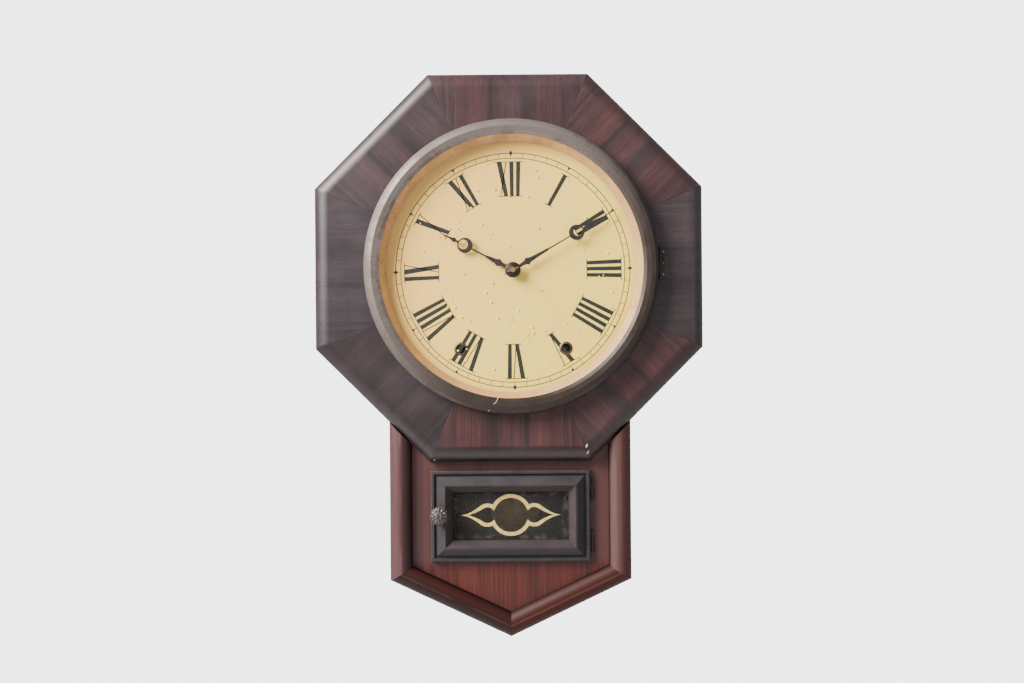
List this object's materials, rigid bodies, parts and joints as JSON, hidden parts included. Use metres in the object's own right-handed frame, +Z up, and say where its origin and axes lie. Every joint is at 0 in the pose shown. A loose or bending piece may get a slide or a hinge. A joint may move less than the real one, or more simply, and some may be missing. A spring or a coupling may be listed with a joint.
{
  "type": "wall clock",
  "caption": "Octagonal wall clock with a round hinged brass bezel, moon hands on a Roman dial and a pointed drop box whose small glazed door shows the pendulum.",
  "frame": {"origin": "centre of the hanging hole in the hanger plate, on the wall face of the clock's back", "axes": "+X to the right as seen from the front, +Y into the wall, +Z up; the clock faces -Y"},
  "size_m": [0.38, 0.1125, 0.5522],
  "materials": {
    "case_wood": "varnished mahogany",
    "veneer": "cross-banded rosewood veneer, old polish",
    "panel_wood": "mahogany veneer, old polish",
    "ebonised_wood": "ebonised, polished",
    "old_brass": "tarnished",
    "movement_brass": "machined",
    "bob_brass": "lacquered",
    "steel": "machined",
    "iron": "blackened iron",
    "hand_iron": "blued, dulled",
    "clear_glass": "clear",
    "tablet_glass": "painted black behind, with a gilt line",
    "dial_paint": "aged paper on zinc"
  },
  "bodies": {
    "case": {"backboard": "case_wood", "case_side_left": "case_wood", "case_side_right": "case_wood", "case_top_board": "case_wood", "case_floor_left": "case_wood", "case_floor_right": "case_wood", "octagon_segment_1": "veneer", "octagon_segment_2": "veneer", "octagon_segment_3": "veneer", "octagon_segment_4": "veneer", "octagon_segment_5": "veneer", "octagon_segment_6": "veneer", "octagon_segment_7": "veneer", "octagon_segment_8": "veneer", "drop_front_panel": "panel_wood", "moulding_left": "veneer", "moulding_right": "veneer", "moulding_lower_left": "veneer", "moulding_lower_right": "veneer", "hanger_plate": "iron", "dial_plate": "dial_paint", "winding_eyelets": "old_brass", "bezel_hinge_fixed_leaf": "old_brass", "door_hinge_fixed_leaves": "iron", "movement_back_plate": "movement_brass", "movement_front_plate": "movement_brass", "movement_feet": "case_wood", "mainsprings": "steel", "gong": "steel"},
    "bezel": {"bezel_ring": "old_brass", "sight_ring": "old_brass", "bezel_glass": "clear_glass", "bezel_hinge_moving_leaf": "old_brass"},
    "door": {"door_stile_left": "ebonised_wood", "door_stile_right": "ebonised_wood", "door_rail_top": "ebonised_wood", "door_rail_bottom": "ebonised_wood", "door_glass": "tablet_glass", "door_hinge_moving_leaves": "iron"},
    "knob": {"door_knob": "old_brass"},
    "minute": {"minute_hand": "hand_iron", "hand_collet": "old_brass", "centre_arbor": "movement_brass"},
    "hour": {"hour_hand": "hand_iron", "hour_wheel": "movement_brass"},
    "motion": {"motion_wheel": "movement_brass"},
    "time_main": {"time_main_wheel": "movement_brass"},
    "time_winding": {"time_winding_arbor": "steel"},
    "second": {"second_wheel": "movement_brass"},
    "third": {"third_wheel": "movement_brass"},
    "escape": {"escape_wheel": "movement_brass"},
    "anchor": {"anchor": "steel"},
    "pendulum": {"pendulum_rod": "steel", "pendulum_bob": "bob_brass", "rating_nut": "movement_brass"},
    "strike_main": {"strike_main_wheel": "movement_brass"},
    "strike_winding": {"strike_winding_arbor": "steel"},
    "pin": {"strike_pin_wheel": "movement_brass"},
    "fly": {"strike_fly": "movement_brass"},
    "hammer": {"hammer": "steel"}
  },
  "joints": [
    {"name": "bezel_hinge", "type": "hinge", "parent": "case", "child": "bezel", "pos_m": [0.1467, -0.0979, -0.1474], "axis": [0, 0, 1], "range_deg": [0, 105]},
    {"name": "door_hinge", "type": "hinge", "parent": "case", "child": "door", "pos_m": [0.0799, -0.082, -0.3931], "axis": [0, 0, 1], "range_deg": [0, 110]},
    {"name": "door_knob_turn", "type": "hinge", "parent": "door", "child": "knob", "pos_m": [-0.0693, -0.09, -0.3914], "axis": [0, 1, 0], "range_deg": [0, 90]},
    {"name": "minute_hand_turn", "type": "hinge", "parent": "case", "child": "minute", "pos_m": [0.004, -0.06, -0.1532], "axis": [0, 1, 0], "continuous": true},
    {"name": "hour_hand_turn", "type": "hinge", "parent": "case", "child": "hour", "pos_m": [0.004, -0.071, -0.1532], "axis": [0, 1, 0], "continuous": true},
    {"name": "motion_wheel_turn", "type": "hinge", "parent": "case", "child": "motion", "pos_m": [-0.00873, -0.04, -0.14047], "axis": [0, 1, 0], "continuous": true},
    {"name": "second_wheel_turn", "type": "hinge", "parent": "case", "child": "second", "pos_m": [0.01948, -0.04, -0.19581], "axis": [0, 1, 0], "continuous": true},
    {"name": "time_main_wheel_turn", "type": "hinge", "parent": "case", "child": "time_main", "pos_m": [0.055, -0.04, -0.2292], "axis": [0, 1, 0], "continuous": true},
    {"name": "third_wheel_turn", "type": "hinge", "parent": "case", "child": "third", "pos_m": [0.02202, -0.04, -0.13354], "axis": [0, 1, 0], "continuous": true},
    {"name": "escape_wheel_turn", "type": "hinge", "parent": "case", "child": "escape", "pos_m": [0.004, -0.04, -0.1148], "axis": [0, 1, 0], "continuous": true},
    {"name": "time_winding", "type": "hinge", "parent": "time_main", "child": "time_winding", "pos_m": [0.055, -0.04, -0.2292], "axis": [0, -1, 0], "range_deg": [0, 5130]},
    {"name": "pendulum_swing", "type": "hinge", "parent": "case", "child": "pendulum", "pos_m": [0.004, -0.017, -0.0908], "axis": [0, 1, 0], "range_deg": [-4, 4]},
    {"name": "anchor_rock", "type": "hinge", "parent": "case", "child": "anchor", "pos_m": [0.004, -0.03, -0.0908], "axis": [0, 1, 0], "range_deg": [-4, 4]},
    {"name": "strike_main_wheel_turn", "type": "hinge", "parent": "case", "child": "strike_main", "pos_m": [-0.047, -0.04, -0.2292], "axis": [0, 1, 0], "continuous": true},
    {"name": "strike_winding", "type": "hinge", "parent": "strike_main", "child": "strike_winding", "pos_m": [-0.047, -0.04, -0.2292], "axis": [0, -1, 0], "range_deg": [0, 5130]},
    {"name": "strike_pin_wheel_turn", "type": "hinge", "parent": "case", "child": "pin", "pos_m": [-0.02954, -0.04, -0.18369], "axis": [0, 1, 0], "continuous": true},
    {"name": "strike_fly_turn", "type": "hinge", "parent": "case", "child": "fly", "pos_m": [-0.03355, -0.04, -0.15517], "axis": [0, 1, 0], "continuous": true},
    {"name": "hammer_lift", "type": "hinge", "parent": "case", "child": "hammer", "pos_m": [0, -0.04, -0.2372], "axis": [0, 1, 0], "range_deg": [0, 15]}
  ],
  "couplings": [
    {"joint": "hour_hand_turn", "follows": "minute_hand_turn", "ratio": 0.083333},
    {"joint": "motion_wheel_turn", "follows": "minute_hand_turn", "ratio": -0.33333},
    {"joint": "second_wheel_turn", "follows": "minute_hand_turn", "ratio": -0.33333},
    {"joint": "time_main_wheel_turn", "follows": "minute_hand_turn", "ratio": 0.083333},
    {"joint": "third_wheel_turn", "follows": "minute_hand_turn", "ratio": -9},
    {"joint": "escape_wheel_turn", "follows": "minute_hand_turn", "ratio": 108},
    {"joint": "anchor_rock", "follows": "pendulum_swing", "ratio": 1},
    {"joint": "strike_pin_wheel_turn", "follows": "strike_main_wheel_turn", "ratio": -4},
    {"joint": "strike_fly_turn", "follows": "strike_main_wheel_turn", "ratio": 20}
  ]
}
